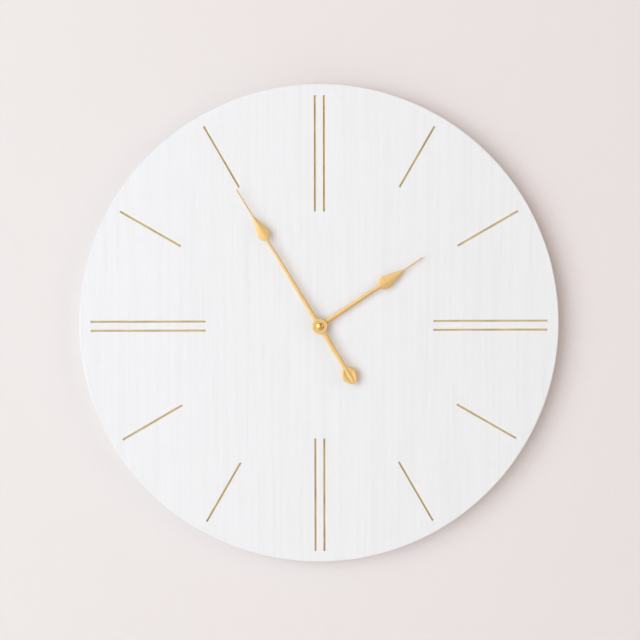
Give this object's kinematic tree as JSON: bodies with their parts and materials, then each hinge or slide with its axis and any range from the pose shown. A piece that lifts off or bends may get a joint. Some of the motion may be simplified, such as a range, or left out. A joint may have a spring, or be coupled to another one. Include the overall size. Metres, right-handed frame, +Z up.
{
  "type": "wall clock",
  "caption": "Round white wooden wall clock with engraved hour lines, leaf-shaped gold hands and a quartz movement let into the back.",
  "frame": {"origin": "on the hands' axis, in the plane of the panel's back face, which is the wall", "axes": "+Z up towards twelve o'clock, +X towards three o'clock, +Y into the wall; the dial faces -Y"},
  "size_m": [0.3999, 0.0292, 0.4],
  "materials": {
    "fibreboard": "raw light brown fibreboard, seen in the engraved lines",
    "white_veneer": "matt white paint over fine vertical wood grain",
    "back_veneer": "matt white paint over fine wood grain, plainer than the front",
    "zinc_steel": "bright zinc plated steel",
    "brass_screw": "yellow zinc plated steel screw",
    "black_plastic": "finely textured black moulded plastic",
    "grey_plastic": "satin grey moulded plastic",
    "brass": "turned brass",
    "rubber": "matt black rubber",
    "circuit_board": "green laminate",
    "nickel": "nickel plated steel",
    "epoxy": "glossy black epoxy",
    "ivory_plastic": "waxy natural acetal plastic",
    "copper_wire": "fine enamelled copper wire, close wound",
    "magnet": "dark sintered magnet",
    "gold_hand": "satin matt gold",
    "gold_nut": "polished gold",
    "white_plastic": "white moulded plastic",
    "battery_steel": "nickel plated steel can",
    "battery_sleeve": "plain dark green and copper coloured film with no print"
  },
  "bodies": {
    "root": {"dial_core": "fibreboard", "front_veneer": "white_veneer", "back_veneer": "back_veneer", "hanger_plate": "zinc_steel", "hanger_screws": "brass_screw", "movement_housing": "black_plastic", "rear_cover": "black_plastic", "middle_plate": "grey_plastic", "threaded_bushing": "brass", "cushion_washer": "rubber", "fixing_washer": "brass", "fixing_nut": "brass", "circuit_board": "circuit_board", "quartz_crystal": "nickel", "timing_chip": "epoxy", "coil_bobbin": "ivory_plastic", "coil_winding": "copper_wire", "coil_core": "nickel", "stator": "nickel", "positive_contact": "nickel", "negative_contact": "nickel"},
    "minute_hand": {"minute_arbor": "brass", "minute_hand": "gold_hand", "minute_bush": "gold_hand", "hand_nut": "gold_nut"},
    "hour_hand": {"hour_wheel": "ivory_plastic", "hour_collet": "gold_hand", "hour_hand": "gold_hand"},
    "motion_wheel": {"motion_wheel": "ivory_plastic"},
    "setting_shaft": {"setting_wheel": "ivory_plastic", "setting_knob": "white_plastic"},
    "second_wheel": {"second_wheel": "ivory_plastic", "second_arbor": "nickel"},
    "third_wheel": {"third_wheel": "ivory_plastic"},
    "centre_wheel": {"centre_wheel": "ivory_plastic"},
    "fifth_wheel": {"fifth_wheel": "ivory_plastic"},
    "rotor": {"rotor_magnet": "magnet", "rotor_pinion": "ivory_plastic"},
    "battery": {"battery_cell": "battery_steel", "battery_sleeve": "battery_sleeve"}
  },
  "joints": [
    {"name": "minute_hand_turn", "type": "hinge", "parent": "root", "child": "minute_hand", "pos_m": [0, -0.02, 0], "axis": [0, 1, 0], "continuous": true},
    {"name": "hour_hand_turn", "type": "hinge", "parent": "root", "child": "hour_hand", "pos_m": [0, -0.018, 0], "axis": [0, 1, 0], "continuous": true},
    {"name": "motion_wheel_turn", "type": "hinge", "parent": "root", "child": "motion_wheel", "pos_m": [0.012, -0.01, 0], "axis": [0, 1, 0], "continuous": true},
    {"name": "setting_knob_turn", "type": "hinge", "parent": "root", "child": "setting_shaft", "pos_m": [0.0183, -0.006, 0.01091], "axis": [0, 1, 0], "continuous": true},
    {"name": "second_wheel_turn", "type": "hinge", "parent": "root", "child": "second_wheel", "pos_m": [0, -0.005, 0], "axis": [0, 1, 0], "continuous": true},
    {"name": "third_wheel_turn", "type": "hinge", "parent": "root", "child": "third_wheel", "pos_m": [-0.01082, -0.005, 0.00394], "axis": [0, 1, 0], "continuous": true},
    {"name": "centre_wheel_turn", "type": "hinge", "parent": "root", "child": "centre_wheel", "pos_m": [0, -0.0063, 0], "axis": [0, 1, 0], "continuous": true},
    {"name": "fifth_wheel_turn", "type": "hinge", "parent": "root", "child": "fifth_wheel", "pos_m": [0.002, -0.004, 0.01134], "axis": [0, 1, 0], "continuous": true},
    {"name": "rotor_turn", "type": "hinge", "parent": "root", "child": "rotor", "pos_m": [-0.00655, -0.005, 0.01446], "axis": [0, 1, 0], "continuous": true},
    {"name": "battery_slide", "type": "slide", "parent": "root", "child": "battery", "axis": [0, 1, 0], "range_m": [0, 0.025]}
  ],
  "couplings": [
    {"joint": "hour_hand_turn", "follows": "minute_hand_turn", "ratio": 0.083333},
    {"joint": "motion_wheel_turn", "follows": "minute_hand_turn", "ratio": -0.33333},
    {"joint": "setting_knob_turn", "follows": "minute_hand_turn", "ratio": 0.83333},
    {"joint": "third_wheel_turn", "follows": "second_wheel_turn", "ratio": -0.13333},
    {"joint": "centre_wheel_turn", "follows": "second_wheel_turn", "ratio": 0.016667},
    {"joint": "fifth_wheel_turn", "follows": "second_wheel_turn", "ratio": -5},
    {"joint": "rotor_turn", "follows": "second_wheel_turn", "ratio": 30}
  ]
}
